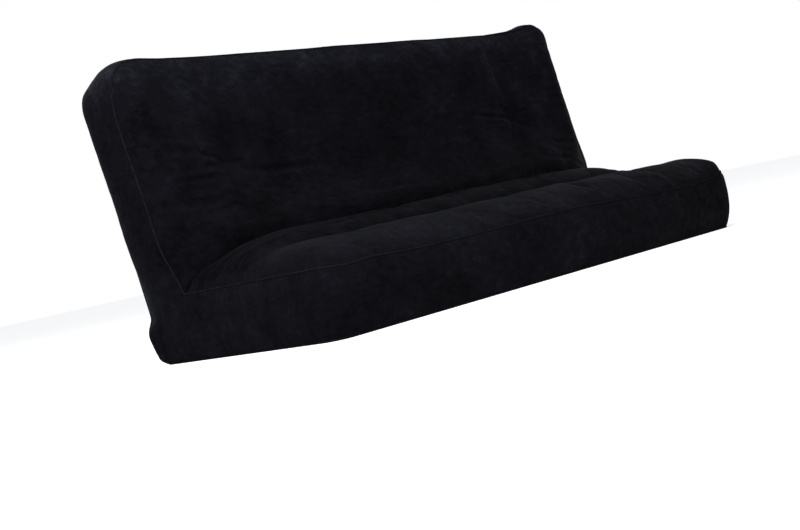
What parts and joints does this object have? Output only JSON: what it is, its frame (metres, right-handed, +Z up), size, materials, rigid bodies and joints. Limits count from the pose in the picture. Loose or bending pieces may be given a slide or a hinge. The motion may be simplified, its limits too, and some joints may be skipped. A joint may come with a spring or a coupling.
{
  "type": "futon mattress",
  "caption": "Tufted futon mattress in a dark zipped microsuede cover, folded into a sofa seat and back; the back unfolds flat to make a bed.",
  "frame": {"origin": "centre of the seat section's flat underside", "axes": "+Z up out of the seat's underside, +X along the fold and the mattress's length, the front of the seat faces -Y, the back stands at +Y and leans back 8.4 degrees"},
  "size_m": [1.905, 0.819, 0.8163],
  "materials": {
    "microsuede": "brushed nap",
    "welt": "brushed nap",
    "ticking": "plain cotton",
    "batting": "matte fibre",
    "foam": "matte open-cell foam",
    "twine": "waxed",
    "felt": "matte felt",
    "zip_tape": "woven",
    "zip_nylon": "satin",
    "zip_metal": "satin"
  },
  "bodies": {
    "seat_section": {"seat_cover_top": "microsuede", "seat_cover_underside": "microsuede", "seat_border_front": "microsuede", "seat_border_left": "microsuede", "seat_border_right": "microsuede", "seat_welt_top": "welt", "seat_welt_bottom": "welt", "seat_ticking": "ticking", "seat_lower_batting": "batting", "seat_lower_foam": "foam", "seat_core_batting": "batting", "seat_upper_foam": "foam", "seat_upper_batting": "batting", "seat_tuft_twines": "twine", "seat_tuft_washers": "felt"},
    "back_section": {"back_cover_top": "microsuede", "back_cover_underside": "microsuede", "back_border_head": "microsuede", "back_border_left": "microsuede", "back_border_right": "microsuede", "back_welt_top": "welt", "back_welt_bottom": "welt", "back_ticking": "ticking", "back_lower_batting": "batting", "back_lower_foam": "foam", "back_core_batting": "batting", "back_upper_foam": "foam", "back_upper_batting": "batting", "back_tuft_twines": "twine", "back_tuft_washers": "felt", "zip_tapes": "zip_tape", "zip_teeth": "zip_nylon", "zip_stops": "zip_metal"},
    "zip_slider": {"zip_slider": "zip_metal"},
    "zip_pull": {"zip_pull": "zip_metal"}
  },
  "joints": [
    {"name": "back_fold", "type": "hinge", "parent": "seat_section", "child": "back_section", "pos_m": [0, 0.3206, 0.042], "axis": [-1, 0, 0], "range_deg": [0, 81.6]},
    {"name": "zip_slide", "type": "slide", "parent": "back_section", "child": "zip_slider", "axis": [-1, 0, 0], "range_m": [0, 1.7334]},
    {"name": "zip_pull_swing", "type": "hinge", "parent": "zip_slider", "child": "zip_pull", "pos_m": [0.8667, 0.41653, 0.80863], "axis": [0, 0.9401, -0.341], "range_deg": [0, 188]}
  ]
}
